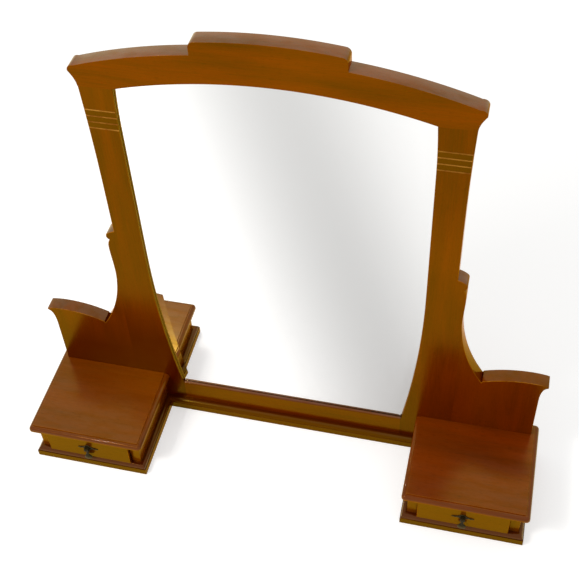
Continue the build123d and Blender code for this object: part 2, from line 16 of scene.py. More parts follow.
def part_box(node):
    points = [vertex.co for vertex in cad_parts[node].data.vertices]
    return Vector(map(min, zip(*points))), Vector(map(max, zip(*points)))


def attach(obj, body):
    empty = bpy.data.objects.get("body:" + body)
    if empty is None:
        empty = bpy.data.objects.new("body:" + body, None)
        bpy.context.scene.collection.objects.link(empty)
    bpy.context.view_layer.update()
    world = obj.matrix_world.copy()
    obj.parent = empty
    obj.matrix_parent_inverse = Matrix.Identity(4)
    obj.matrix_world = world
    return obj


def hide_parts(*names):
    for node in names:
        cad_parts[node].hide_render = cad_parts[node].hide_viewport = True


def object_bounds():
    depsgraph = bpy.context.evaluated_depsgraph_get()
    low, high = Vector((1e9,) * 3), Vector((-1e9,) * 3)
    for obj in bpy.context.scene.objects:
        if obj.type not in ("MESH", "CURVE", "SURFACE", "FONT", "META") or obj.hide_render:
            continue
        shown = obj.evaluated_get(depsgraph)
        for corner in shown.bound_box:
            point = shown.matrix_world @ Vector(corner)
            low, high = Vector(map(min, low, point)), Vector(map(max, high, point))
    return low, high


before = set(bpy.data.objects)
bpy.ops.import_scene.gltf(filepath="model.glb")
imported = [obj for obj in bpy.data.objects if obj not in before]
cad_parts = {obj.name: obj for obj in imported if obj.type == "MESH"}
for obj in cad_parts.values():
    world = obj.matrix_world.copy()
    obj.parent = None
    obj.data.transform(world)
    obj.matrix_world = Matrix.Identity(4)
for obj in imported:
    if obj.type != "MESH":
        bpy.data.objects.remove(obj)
cad_low, cad_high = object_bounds()
MM = 0.001
print("frame is", [round(side / MM, 1) for side in cad_high - cad_low], "mm")

# %% [markdown]
# ## The camera
# The picture looks down on the mirror from the front, a little from its right, so all uprights
# lean together towards the bottom. Place and lens were worked out from the straight edges of the
# boards, because a camera that matches them shows every later mistake in a shape. The shift is
# small: the picture is cropped a little off its middle.

# %% Camera
camera_data = bpy.data.cameras.new("camera")
camera_data.sensor_width = 36
camera_data.lens = 66.107
camera_data.shift_x = 0.0228
camera_data.shift_y = -0.0114
camera_data.clip_end = 40
camera = bpy.data.objects.new("camera", camera_data)
camera.location = (0.3669, -1.2438, 1.8536)
camera.rotation_euler = (radians(42.340), radians(2.859), radians(13.759))
bpy.context.scene.collection.objects.link(camera)
bpy.context.scene.camera = camera
bpy.context.scene.view_settings.view_transform = "Standard"
print("lens", camera_data.lens, "mm, camera at", [round(part, 3) for part in camera.location])

# %% [markdown]
# ## Reading patterns
# A finish is a small network of nodes, and the same few joints come back in all of them: a
# pattern stretched along the grain, a range mapped onto another, two colours blended. Naming
# them once keeps every finish below short. All patterns read object coordinates, so they stay
# in the wood when a drawer moves.

# %% Node helpers


def wire(tree, value, socket):
    """Sets an input, or links it to another node's output."""
    if isinstance(value, bpy.types.NodeSocket):
        tree.links.new(value, socket)
    else:
        socket.default_value = value


def feed(tree, target, **sockets):
    """Wires a node's inputs by name."""
    for name, value in sockets.items():
        wire(tree, value, target.inputs[name.replace("_", " ")])


def node(tree, kind, **sockets):
    made = tree.nodes.new(kind)
    feed(tree, made, **sockets)
    return made


def calculate(tree, how, first, second):
    made = tree.nodes.new("ShaderNodeMath")
    made.operation = how
    wire(tree, first, made.inputs[0])
    wire(tree, second, made.inputs[1])
    return made.outputs[0]


def spread(tree, value, low, high, to_low=0.0, to_high=1.0):
    """Maps part of a range onto another, clamped."""
    return node(tree, "ShaderNodeMapRange", Value=value, From_Min=low, From_Max=high,
                To_Min=to_low, To_Max=to_high).outputs["Result"]


def blend(tree, share, first, second):
    """Mixes two colours; at a share of 0 only the first shows."""
    made = tree.nodes.new("ShaderNodeMix")
    made.data_type = "RGBA"
    feed(tree, made, Factor=share, A=first, B=second)
    return made.outputs["Result"]


def grain_space(tree, along, seed, squeeze):
    """Object coordinates squeezed along the grain, shifted so that no two boards are alike."""
    place_in = tree.nodes.new("ShaderNodeTexCoord")
    return node(tree, "ShaderNodeMapping", Vector=place_in.outputs["Object"],
                Scale=[squeeze if axis == along else 1 for axis in "XYZ"],
                Location=(seed * 0.37, seed * 0.53, seed * 0.71)).outputs["Vector"]


def grain(tree, along, seed, squeeze, scale, detail, roughness, distortion=0.0):
    """A noise that is drawn out along the board; a larger scale makes it finer."""
    return node(tree, "ShaderNodeTexNoise", Vector=grain_space(tree, along, seed, squeeze),
                Scale=scale, Detail=detail, Roughness=roughness, Distortion=distortion).outputs["Fac"]


def relief(tree, height, strength, depth):
    """Tilts the surface by a pattern, as fine ridges would."""
    return node(tree, "ShaderNodeBump", Height=height, Strength=strength,
                Distance=depth).outputs["Normal"]


def marked(tree, name):
    """The value that a mark on the mesh has here."""
    made = tree.nodes.new("ShaderNodeAttribute")
    made.attribute_name = name
    return made.outputs["Fac"]


def fresh_shader(name):
    """A new material, its node tree and its main shader."""
    made = bpy.data.materials.new(name)
    made.use_nodes = True
    return made, made.node_tree, made.node_tree.nodes["Principled BSDF"]


print("helpers ready: calculate, spread, blend, grain, relief, marked")

# %% [markdown]
# ## Light
# A studio is mostly large white surfaces. The world gives the even part of the light, and rays
# that show it directly find it brighter than it shines, so the background is white. One soft
# lamp from the front left models the boards. It is hidden from glossy rays, because the lids
# would carry its image into the mirror. A small narrow one beside it draws the thin white
# streaks that run along rounded edges.

# %% World and lamps
SKY_LIGHT, SKY_SEEN = 0.62, 1.0


def seen_directly(tree):
    """1 for rays that show a surface itself or its image, 0 for rays that only carry light."""
    rays = tree.nodes.new("ShaderNodeLightPath").outputs
    seen = calculate(tree, "MAXIMUM", rays["Is Camera Ray"], rays["Is Glossy Ray"])
    return calculate(tree, "MAXIMUM", seen, rays["Is Transmission Ray"])


world = bpy.data.worlds.new("studio")
bpy.context.scene.world = world
world.use_nodes = True
sky = world.node_tree
feed(sky, sky.nodes["Background"], Color=(1, 1, 1, 1),
     Strength=spread(sky, seen_directly(sky), 0, 1, SKY_LIGHT, SKY_SEEN))


def lamp(name, place, target, size, power, colour=(1, 1, 1)):
    """A soft square lamp that faces a point."""
    data = bpy.data.lights.new(name, "AREA")
    data.shape = "RECTANGLE"
    data.size, data.size_y = size
    data.energy = power
    data.color = colour
    holder = bpy.data.objects.new(name, data)
    holder.location = place
    holder.rotation_euler = (Vector(target) - Vector(place)).to_track_quat("-Z", "Y").to_euler()
    bpy.context.scene.collection.objects.link(holder)
    return holder


key = lamp("key", (-1.5, -1.5, 2.3), (0, 0, 0.4), (0.9, 0.9), 30, (1, 0.97, 0.92))
key.visible_glossy = False
lamp("glint", (-0.92, -1.11, 1.74), (-0.3, -0.19, 0.1), (0.14, 0.05), 4)
print("lamps:", [light.name for light in bpy.data.lights])

# %% [markdown]
# ## Floor
# A sheet of pale paper, flat and dull, that keeps the object's shadow. What the camera, the
# mirror and the varnish see of it is lifted to white by a little glow that other rays don't
# meet, so the paper looks white and still adds no light of its own to the wood.

# %% Floor
FLOOR_HALF, FLOOR_GLOW = 9, 0.48


def floor_material():
    made, tree, shader = fresh_shader("pale_floor")
    feed(tree, shader, Base_Color=(0.8, 0.8, 0.79, 1), Roughness=0.9, Specular_IOR_Level=0.0,
         Emission_Color=(1, 1, 1, 1),
         Emission_Strength=calculate(tree, "MULTIPLY", seen_directly(tree), FLOOR_GLOW))
    return made


sheet = bmesh.new()
bmesh.ops.create_grid(sheet, x_segments=1, y_segments=1, size=FLOOR_HALF)
floor_mesh = bpy.data.meshes.new("floor")
sheet.to_mesh(floor_mesh)
sheet.free()
floor = bpy.data.objects.new("floor", floor_mesh)
floor_mesh.materials.append(floor_material())
bpy.context.scene.collection.objects.link(floor)
print("floor of", 2 * FLOOR_HALF, "m")

# %% [markdown]
# ## A pencil for outlines
# A maker draws each board full size before sawing it. The pencil below does the same with mesh
# operators, in millimetres on the upright plane y = 0: straight lines extrude the last point,
# arcs spin it about their centre, and free curves follow a bending lath. When the outline is
# closed it becomes one face, which is then extruded to the board's thickness.

# %% Pencil


def start_outline(x, z):
    """A new outline and its first point."""
    bm = bmesh.new()
    bm.verts.layers.float.new("arris")
    return bm, bm.verts.new((x, 0, z))


def line(bm, pen, x, z):
    drawn = bmesh.ops.extrude_vert_indiv(bm, verts=[pen])
    tip = drawn["verts"][0]
    tip.co = (x, 0, z)
    return tip


def arc(bm, pen, x, z, radius, steps=8):
    """An arc to a point. A positive radius has its centre on the right of the way there."""
    half = (Vector((x, 0, z)) - pen.co) / 2
    aside = Vector((half.z, 0, -half.x)).normalized()
    centre = pen.co + half + aside * copysign(sqrt(max(0, radius**2 - half.length**2)), radius)
    turn = copysign(2 * asin(min(1, half.length / abs(radius))), radius)
    drawn = bmesh.ops.spin(bm, geom=[pen], cent=centre, axis=(0, 1, 0), angle=turn, steps=steps,
                           use_duplicate=False)
    tip = [item for item in drawn["geom_last"] if isinstance(item, bmesh.types.BMVert)][0]
    tip.co = (x, 0, z)
    return tip


def lath(bm, pen, x, z, leave, arrive, steps=8):
    """A smooth curve to a point, between two directions."""
    start, end = pen.co.copy(), Vector((x, 0, z))
    reach = (end - start).length / 3
    leave = Vector((leave[0], 0, leave[1])).normalized() * reach
    arrive = Vector((arrive[0], 0, arrive[1])).normalized() * reach
    for point in interpolate_bezier(start, start + leave, end - arrive, end, steps + 1)[1:]:
        pen = line(bm, pen, point.x, point.z)
    return pen


def close(bm, pen, first):
    """Joins the last point to the first and fills the outline."""
    bm.edges.new((pen, first))
    bmesh.ops.contextual_create(bm, geom=bm.edges[:])


def mirror_outline(bm):
    """The left half of an outline drawn from the middle to the middle."""
    bmesh.ops.mirror(bm, geom=bm.verts[:] + bm.edges[:], axis="X", merge_dist=0.01)
    bmesh.ops.contextual_create(bm, geom=bm.edges[:])


def flat_bow(run, rise):
    """Radius of an arc that starts level and falls by rise over a run."""
    return (run**2 + rise**2) / (2 * rise)


def thicken(bm, low, high, way=(0, 1, 0)):
    """Extrudes the filled outline from low to high along one direction."""
    way = Vector(way)
    bmesh.ops.translate(bm, verts=bm.verts, vec=way * low)
    drawn = bmesh.ops.extrude_face_region(bm, geom=bm.faces[:])
    moved = [item for item in drawn["geom"] if isinstance(item, bmesh.types.BMVert)]
    bmesh.ops.translate(bm, verts=moved, vec=way * (high - low))
    bmesh.ops.recalc_face_normals(bm, faces=bm.faces[:])


print("pencil ready: line, arc, lath, close, thicken")

# %% [markdown]
# ## Arrises
# The sharp corner of a sawn board is called its arris. It is rounded by sandpaper and later by
# hands and dusters, which also rub the varnish thin there. A moulded edge is different: its
# curve took up more stain. So the bevel below marks the points inside its own strip, with 1 for
# a small arris and -1 for a moulding, and the varnish answers to the marks. Another mark tells
# which faces look up, where light and dust lie.

# %% Rounding and placing
LARGEST_ARRIS = 2
LARGEST_SMOOTH_FACE = 0.0015


def round_edges(bm, choose, radius, segments=4):
    """Rounds the edges whose middle passes the test, and marks the strip's inner points."""
    mark = bm.verts.layers.float["arris"]
    picked = [edge for edge in bm.edges if len(edge.link_faces) == 2 and edge.calc_face_angle() > 0.3
              and choose((edge.verts[0].co + edge.verts[1].co) / 2)]
    strip = bmesh.ops.bevel(bm, geom=picked, offset=radius, offset_type="OFFSET", segments=segments,
                            profile=0.5, affect="EDGES", material=-1, clamp_overlap=True)
    new = set(strip["faces"])
    for point in {corner for face in new for corner in face.verts}:
        if all(face in new for face in point.link_faces):
            point[mark] = 1 if radius < LARGEST_ARRIS else -1


def place(bm, name, material, body, slot, node, smooth=35):
    """Turns a bmesh in millimetres into a finished piece on its body. Faces meet smoothly under
    an angle in degrees; large flat ones stay flat, so that they mirror without bending."""
    bmesh.ops.remove_doubles(bm, verts=bm.verts[:], dist=0.002)
    bm.normal_update()
    upper = bm.faces.layers.float.new("upper")
    for face in bm.faces:
        face[upper] = max(0, min(1, 3 * face.normal.z - 1.5))
    bmesh.ops.scale(bm, vec=(MM, MM, MM), verts=bm.verts[:])
    mesh = bpy.data.meshes.new(name)
    bm.to_mesh(mesh)
    bm.free()
    mesh.set_sharp_from_angle(angle=radians(smooth))
    for face in mesh.polygons:
        face.use_smooth = face.area < LARGEST_SMOOTH_FACE
    for finish in material if isinstance(material, list) else [material]:
        mesh.materials.append(finish)
    piece = bpy.data.objects.new(name, mesh)
    bpy.context.scene.collection.objects.link(piece)
    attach(piece, body)
    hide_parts(node)
    print(name, len(mesh.polygons), "faces")
    return piece


def mirror_across(bm):
    """A copy of a bmesh on the other side of the middle."""
    twin = bm.copy()
    bmesh.ops.scale(twin, vec=(-1, 1, 1), verts=twin.verts[:])
    bmesh.ops.reverse_faces(twin, faces=twin.faces[:])
    return twin


print("rounds under", LARGEST_ARRIS, "mm are rubbed arrises, the others are mouldings")

# %% [markdown]
# ## The wood
# The boards are a plain reddish wood, stained brown. Seen close, it has long fibres, short dark
# pores and slow bands of lighter and darker growth; seen from a step away, only the warm colour.
# Each is a noise of its own size, squeezed along the grain. Boards differ, so the depth of the
# stain and its yellow are given for each one. Some are painted darker and redder near their
# foot, as painted shade and a painted reflection of the box lids in the varnish.

# %% Colour of the wood
DEEP = (0.070, 0.0085, 0.0004, 1)
WARM = (0.200, 0.0270, 0.0008, 1)
GOLD = (0.300, 0.0750, 0.0015, 1)
OLIVE = (0.130, 0.0520, 0.0008, 1)
PORE = (0.018, 0.0035, 0.0008, 1)
STAINED = (0.045, 0.0070, 0.0010, 1)
# The red of the painted shade and lid reflection at the boards' feet.
FOOT_SHADE_RED = (0.058, 0.0050, 0.0003, 1)
FOOT_SHADE_FADE = 0.05


def wood_colour(tree, along, seed, deep, golden):
    """The stained wood's colour, its relief and its fibres."""
    growth = grain(tree, along, seed, 0.10, 26, 3, 0.5, 0.6)
    fibre = grain(tree, along, seed, 0.035, 520, 4, 0.6)
    pores = grain(tree, along, seed + 5, 0.05, 1500, 2, 0.5)
    cloud = grain(tree, along, seed + 9, 0.6, 5, 2, 0.5)
    figure = calculate(tree, "ADD", calculate(tree, "MULTIPLY", fibre, 0.35),
                       calculate(tree, "MULTIPLY", growth, 0.65))
    shade = spread(tree, figure, 0.32 + 0.10 * deep, 0.68 + 0.10 * deep)
    colour = blend(tree, shade, DEEP, WARM)
    colour = blend(tree, spread(tree, cloud, 0.42, 0.72, 0.0, 0.35), colour, GOLD)
    colour = blend(tree, golden, colour, OLIVE)
    colour = blend(tree, spread(tree, pores, 0.60, 0.70, 0.0, 0.6), colour, PORE)
    return blend(tree, max(0.0, deep), colour, STAINED), figure, fibre


def painted_foot_shade(tree, colour, along, height, share):
    """Painted shade and painted reflection of the lids: darkens and reddens a board under a height in
    metres.
    """
    parts = node(tree, "ShaderNodeSeparateXYZ", Vector=grain_space(tree, along, 0, 1)).outputs
    # How much painted shade shows: full below the height, none above it.
    low = spread(tree, parts["Z"], height - FOOT_SHADE_FADE, height + FOOT_SHADE_FADE, share, 0.0)
    return blend(tree, low, colour, FOOT_SHADE_RED)


print("wood tones:", [tone[:3] for tone in (DEEP, WARM, GOLD, OLIVE)])

# %% [markdown]
# ## Wear
# Sharp arrises lose their varnish in patches and show lighter wood, while stain gathers on
# mouldings. Both read the mark that the bevels left on the points, and a patchy noise breaks the
# light edges up, because nothing wears evenly.

# %% Worn arrises and dark mouldings
RUBBED = (0.380, 0.1500, 0.0300, 1)


def wear(tree, colour, along, seed, worn):
    """Rubs the arrises and stains the mouldings; also gives the mouldings and the patches."""
    mark = marked(tree, "arris")
    patch = grain(tree, along, seed + 2, 0.3, 60, 3, 0.6)
    bare = spread(tree, patch, 0.38, 0.62, 0.1, 0.8 * worn)
    rub = calculate(tree, "MULTIPLY", spread(tree, mark, 0, 1), bare)
    moulded = spread(tree, mark, 0, -1)
    stain = calculate(tree, "MULTIPLY", moulded, 0.5)
    return blend(tree, stain, blend(tree, rub, colour, RUBBED), STAINED), moulded, patch


print("wear ready")

# %% [markdown]
# ## Varnish
# Old varnish is yellow and takes the blue out of everything seen through it or in it. So the
# main shine has a yellow tint, and a clear coat with almost no bend of light tints what comes up
# from below. Only where boards look up does a pale film of dust and scratches show, as a coat
# that mirrors more; on mouldings the coat is sharp and draws thin streaks of lamplight.

# %% Varnished wood
YELLOW_SHINE, RED_SHINE = (1.0, 0.72, 0.01, 1), (1.0, 0.45, 0.22, 1)
CLEAR, FILM, MOULDED_COAT = 1.03, 0.54, 1.23


def varnished(name, along, seed, deep=0.0, worn=1.0, golden=0.0, film=1.0, haze=0.14, foot=(0, 0)):
    """Brown varnished wood. deep darkens a board, golden yellows it, worn is how far its arrises
    are rubbed, film is how pale its upper faces look, haze is how dull that film is, and foot is
    a height and a share: under that height the board is painted redder and darker, as painted
    shade and a painted reflection of the lids."""
    made, tree, shader = fresh_shader(name)
    colour, figure, fibre = wood_colour(tree, along, seed, deep, golden)
    # Painted shade and lid reflection at the board's foot.
    if foot[1]:
        colour = painted_foot_shade(tree, colour, along, *foot)
    colour, moulded, patch = wear(tree, colour, along, seed, worn)
    dusty = spread(tree, patch, 0.36, 0.60, 0.72, 1.1)
    pale = calculate(tree, "MULTIPLY", marked(tree, "upper"), dusty)
    coat = spread(tree, pale, 0, 1.2, CLEAR, CLEAR + FILM * film)
    sharp = spread(tree, moulded, 0, 1, 1.0, MOULDED_COAT)
    feed(tree, shader, Base_Color=colour, Roughness=spread(tree, fibre, 0.3, 0.7, 0.17, 0.25),
         Specular_IOR_Level=0.65, Specular_Tint=blend(tree, moulded, YELLOW_SHINE, RED_SHINE),
         Coat_Weight=1.0, Coat_Tint=(1.0, 0.80, 0.06, 1),
         Coat_IOR=calculate(tree, "MAXIMUM", coat, sharp),
         Coat_Roughness=spread(tree, moulded, 0, 1, haze, 0.07),
         Normal=relief(tree, figure, 0.18, 0.0004))
    return made


def worn_lit_wood(name, seed):
    """Wood rubbed through to its pale colour in the grooves, and painted paler as the highlight of flanks
    that catch the light.
    """
    made, tree, shader = fresh_shader(name)
    patch = grain(tree, "X", seed, 0.5, 90, 3, 0.6)
    share = spread(tree, patch, 0.35, 0.65)
    colour = blend(tree, share, (0.44, 0.19, 0.025, 1), (0.22, 0.07, 0.006, 1))
    feed(tree, shader, Base_Color=colour, Roughness=spread(tree, patch, 0.3, 0.7, 0.4, 0.6),
         Specular_IOR_Level=0.04)
    return made


print("varnish ready")

# %% [markdown]
# ## The boards' finishes
# No two boards took the stain alike. The top rail is the warmest, the others are darker. Near
# the base both stiles and the left wing are painted darker and redder, as painted shade and a
# painted reflection of the box lids, and the wings' deeper tone is partly painted shade. The lip
# in front of the glass is painted almost black, as painted shade. Each board gets a seed of its
# own, so that no pattern comes twice.

# %% Finishes of the frame and wings
rail_wood = varnished("wood_top_rail", "X", 1)
foot_rail_wood = varnished("wood_bottom_rail", "X", 2, deep=0.35)
# Under their foot heights the stiles get painted shade and a painted reflection of the lids.
stile_woods = {"right": varnished("wood_stile_right", "Z", 3, deep=0.15, foot=(0.20, 0.5)),
               "left": varnished("wood_stile_left", "Z", 4, deep=0.35, foot=(0.25, 0.95))}
# The wings' deep values are partly painted shade of the low boards; the left wing's foot adds painted
# shade and lid reflection.
wing_woods = {"right": varnished("wood_wing_right", "Z", 5, deep=0.28, film=0.45),
              "left": varnished("wood_wing_left", "Z", 6, deep=0.35, film=0.7, foot=(0.21, 0.9))}
# Painted shade: the lip's faces into the opening get this almost black finish.
lip_shade_wood = varnished("wood_lip_shade", "Z", 7, deep=1.0, worn=0.2)
print("finishes:", [finish.name for finish in bpy.data.materials if "wood" in finish.name])

# %% [markdown]
# ## The mirror frame
# The opening is wider at its shoulders than at its foot, and its top is arched, so the stiles
# and the top rail are sawn to curves, while the bottom rail is straight. The three helpers below
# give the opening's edge anywhere, also a little further out, where the glass and the backing
# board lie in their rebates.

# %% Sizes of the frame, in millimetres
board = cad_high.y / MM
base_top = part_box("bottom_rail")[0].z / MM
sight_half, sight_foot_half = 260, 229.4
sight_bottom, curve_start, straight_end, rail_joint, sight_top = 75, 450, 740, 832, 868
shoulder_half = 257
rail_end, stile_edge, stile_neck, stile_head = 228, 329, 312, 316.6
rebate, back_rebate, lip, backing = 8, 20, 5, 6
outer_arris, inner_arris, ledge_round = 1.6, 1.1, 4
foot_bow = ((curve_start - sight_bottom) ** 2 + (sight_half - sight_foot_half) ** 2) / (
    2 * (sight_half - sight_foot_half))
shoulder_bow = flat_bow(rail_joint - straight_end, sight_half - shoulder_half)
arch_bow = flat_bow(shoulder_half, sight_top - rail_joint)


def side_at(z, grow=0):
    """The opening's side at a height, grown outwards."""
    if z >= straight_end:
        return sight_half - shoulder_bow + sqrt((shoulder_bow + grow) ** 2 - (z - straight_end) ** 2)
    if z >= curve_start:
        return sight_half + grow
    return sight_half - foot_bow + sqrt((foot_bow + grow) ** 2 - (curve_start - z) ** 2)


def arch_at(x, grow=0):
    return sight_top - arch_bow + sqrt((arch_bow + grow) ** 2 - x**2)


def shoulder_at(grow=0):
    """Where side and arch meet."""
    x, z = sight_half, rail_joint
    for _ in range(8):
        z = arch_at(x, grow)
        x = side_at(z, grow)
    return x, z


def opening_outline(grow):
    """The whole opening as one filled outline."""
    bm, pen = start_outline(0, sight_bottom - grow)
    first = pen
    pen = line(bm, pen, side_at(sight_bottom - grow, grow), sight_bottom - grow)
    pen = arc(bm, pen, sight_half + grow, curve_start, -(foot_bow + grow), 12)
    pen = line(bm, pen, sight_half + grow, straight_end)
    pen = arc(bm, pen, *shoulder_at(grow), -(shoulder_bow + grow), 4)
    pen = arc(bm, pen, 0, sight_top + grow, -(arch_bow + grow), 16)
    mirror_outline(bm)
    return bm


print("foot bow", round(foot_bow), "shoulder bow", round(shoulder_bow), "arch bow", round(arch_bow))

# %% [markdown]
# ## Rebates
# The glass and the backing board lie in two steps cut round the opening from behind. A router
# with a guide would cut them after the frame is glued. Here a boolean does the same: the cutter
# is the opening's outline, grown and extruded, and its result is made the piece's own mesh. What
# is left in front of the glass is a narrow lip, and its faces into the opening get a finish
# painted almost black, as painted shade.

# %% Cutter
LIP_REACH = 0.6


def cutter(grow, low, high):
    bm = opening_outline(grow)
    thicken(bm, low, high)
    bmesh.ops.scale(bm, vec=(MM, MM, MM), verts=bm.verts[:])
    mesh = bpy.data.meshes.new("cutter")
    bm.to_mesh(mesh)
    bm.free()
    made = bpy.data.objects.new("cutter", mesh)
    bpy.context.scene.collection.objects.link(made)
    return made


def cut_rebates(piece):
    """Takes both rebates out of a frame board and paints the lip's faces into the opening almost black,
    as painted shade.
    """
    cutters = [cutter(rebate, lip, board + 1), cutter(back_rebate, board - backing, board + 1)]
    for tool in cutters:
        step = piece.modifiers.new("rebate", "BOOLEAN")
        step.operation = "DIFFERENCE"
        step.solver = "EXACT"
        step.object = tool
    view = bpy.context.evaluated_depsgraph_get()
    cut = bpy.data.meshes.new_from_object(piece.evaluated_get(view))
    piece.modifiers.clear()
    piece.data = cut
    cut.name = piece.name
    cut.materials.append(lip_shade_wood)
    # The lip's faces beside and over the opening take the finish painted almost black as shade.
    for face in cut.polygons:
        at = face.center / MM
        beside = abs(abs(at.x) - side_at(at.z)) < LIP_REACH and abs(face.normal.x) > 0.8
        under = (abs(at.x) < shoulder_half and abs(at.z - arch_at(at.x)) < LIP_REACH and
                 face.normal.z < -0.8)
        if beside or under:
            face.material_index = len(cut.materials) - 1
    for tool in cutters:
        bpy.data.objects.remove(tool)


print("rebates:", rebate, "mm for the glass,", back_rebate, "mm for the backing board")

# %% [markdown]
# ## Top rail
# The top rail carries the arch of the opening below and a stepped crest above, and its ends
# sweep out into two short horns over the stiles. Only the right half is drawn; mirroring the
# outline keeps both halves alike, as a folded paper pattern does.

# %% Top rail
crest_half, crest_foot, crest_side, crest_top, crest_corner = 122, 914, 937, 945.4, 10
horn, horn_tip, horn_round, head_bow = (328.5, 860), (317, 871.2), 10, 956
crest_bow = flat_bow(crest_half, crest_top - crest_side)
corner_x = crest_half - 9.4

bm, pen = start_outline(0, sight_top)
pen = arc(bm, pen, shoulder_half, rail_joint, arch_bow, 16)
pen = line(bm, pen, stile_head, rail_joint)
pen = lath(bm, pen, *horn, (0.044, 1), (0.7, 1))
pen = arc(bm, pen, *horn_tip, -horn_round, 8)
pen = arc(bm, pen, crest_half, crest_foot, -head_bow, 14)
pen = line(bm, pen, crest_half, crest_side - crest_corner + 1)
corner_z = crest_top - crest_bow + sqrt(crest_bow**2 - corner_x**2)
pen = arc(bm, pen, corner_x, corner_z, -crest_corner, 6)
pen = arc(bm, pen, 0, crest_top, -crest_bow, 12)
mirror_outline(bm)
thicken(bm, 0, board)
round_edges(bm, lambda p: (p.y < 0.1 or p.y > board - 0.1) and p.z > rail_joint + 0.5 and
            p.z > arch_at(min(abs(p.x), shoulder_half)) + 10, outer_arris)
round_edges(bm, lambda p: p.y < 0.1 and p.z > rail_joint + 0.5 and abs(p.x) < shoulder_half and
            p.z < arch_at(p.x) + 1, inner_arris)
top_rail = place(bm, "frame_top_rail", rail_wood, "case", "wood_case", "top_rail")
cut_rebates(top_rail)

# %% [markdown]
# ## Bottom rail
# A straight rail between the stiles' feet. Its top edge is rounded well over, because it is the
# ledge where things are put down in front of the glass.

# %% Bottom rail
bm, pen = start_outline(0, base_top)
pen = line(bm, pen, rail_end, base_top)
pen = line(bm, pen, rail_end, sight_bottom)
pen = line(bm, pen, 0, sight_bottom)
mirror_outline(bm)
thicken(bm, 0, board)
round_edges(bm, lambda p: p.y < 0.1 and p.z > sight_bottom - 0.1, ledge_round, 6)
bottom_rail = place(bm, "frame_bottom_rail", foot_rail_wood, "case", "wood_case", "bottom_rail")
cut_rebates(bottom_rail)

# %% [markdown]
# ## Stiles
# Each stile runs from the base to the top rail. Under its head four small V grooves are cut
# across it, and halfway up its outer edge a hook and a hollow lead over to the wing. The grooves
# are made by slicing the mesh across and pushing the middle slice back. Their lower flanks are
# painted a pale tan, as wear and as a painted highlight where they catch the light, and the
# groove walls and the wood between them are painted darker, as painted shade and grime.

# %% Stiles
hook_top, sweep_top, sweep_bow = 505, 400, 310
sweep_middle_x = stile_edge - 1.5 + sweep_bow
sweep_foot = sweep_top - sqrt(sweep_bow**2 - (sweep_middle_x - stile_edge) ** 2)
groove_count, groove_first, groove_pitch = 4, rail_joint - 45.1, 12.5
groove_depth, groove_width, groove_steep = 1.6, 2.5, 0.5
groove_last = groove_first - (groove_count - 1) * groove_pitch - groove_width


def slice_across(bm, z):
    bmesh.ops.bisect_plane(bm, geom=bm.verts[:] + bm.edges[:] + bm.faces[:], dist=0.001,
                           plane_co=(0, 0, z), plane_no=(0, 0, 1))


def cut_grooves(bm):
    """Cuts the grooves, and sorts the faces there into worn flanks painted pale as highlight and faces
    painted dark as shade and grime.
    """
    for step in range(groove_count):
        top = groove_first - step * groove_pitch
        for z in (top, top - groove_steep, top - groove_width):
            slice_across(bm, z)
        for point in bm.verts:
            if abs(point.co.z - top + groove_steep) < 0.01 and point.co.y < groove_depth:
                point.co.y = groove_depth
    bm.normal_update()
    for face in bm.faces:
        middle = face.calc_center_median()
        if middle.y > groove_depth or not groove_last < middle.z < groove_first + 0.1:
            continue
        heights = [corner.co.z for corner in face.verts]
        depths = [corner.co.y for corner in face.verts]
        tall = max(heights) - min(heights)
        flank = max(depths) > groove_depth - 0.1 and groove_steep + 0.5 < tall < groove_width
        # 1: lower flanks, painted highlight and wear; 2: groove walls and band, painted shade and grime.
        face.material_index = 1 if flank else 2


bm, pen = start_outline(rail_end, base_top)
first = pen
pen = line(bm, pen, stile_edge, base_top)
pen = line(bm, pen, stile_edge, sweep_foot)
pen = arc(bm, pen, stile_edge - 1.5, sweep_top, sweep_bow, 4)
pen = lath(bm, pen, stile_edge + 0.5, hook_top - 47, (0, 1), (0, 1), 5)
pen = lath(bm, pen, stile_edge - 5, hook_top - 23.5, (0, 1), (-0.8, 1), 5)
pen = arc(bm, pen, stile_edge - 3.2, hook_top - 7.2, -9.3, 8)
pen = arc(bm, pen, stile_neck, hook_top, -44, 4)
pen = line(bm, pen, stile_neck, 625)
pen = arc(bm, pen, stile_head, rail_joint, flat_bow(rail_joint - 625, stile_head - stile_neck), 4)
pen = line(bm, pen, shoulder_half, rail_joint)
pen = arc(bm, pen, sight_half, straight_end, shoulder_bow, 4)
pen = line(bm, pen, sight_half, curve_start)
pen = arc(bm, pen, sight_foot_half, sight_bottom, foot_bow, 12)
pen = line(bm, pen, rail_end, sight_bottom)
close(bm, pen, first)
thicken(bm, 0, board)
round_edges(bm, lambda p: (p.y < 0.1 or p.y > board - 0.1) and p.x > stile_neck - 1 and
            sweep_foot < p.z < rail_joint - 0.5, outer_arris)
round_edges(bm, lambda p: p.y < 0.1 and p.x < sight_half + 1 and
            sight_bottom + 1 < p.z < rail_joint - 0.5, inner_arris)
bm.normal_update()
cut_grooves(bm)
stiles = {"left": mirror_across(bm), "right": bm}
# Painted highlight and wear on the lower flanks; painted shade and grime on the rest of the groove band.
groove_lit_worn = worn_lit_wood("wood_groove_light", 11)
groove_shade_dark = varnished("wood_groove_dark", "Z", 12, deep=0.6, golden=0.5)
for side, shape in stiles.items():
    piece = place(shape, "frame_stile_" + side, [stile_woods[side], groove_lit_worn, groove_shade_dark], "case",
                  "wood_case", "stile_" + side)
    cut_rebates(piece)

# %% [markdown]
# ## Wings
# The wings carry on the stiles' hollow curve, turn up at a small step, and end in a rounded crown
# with a short beak over the boxes' outer walls.

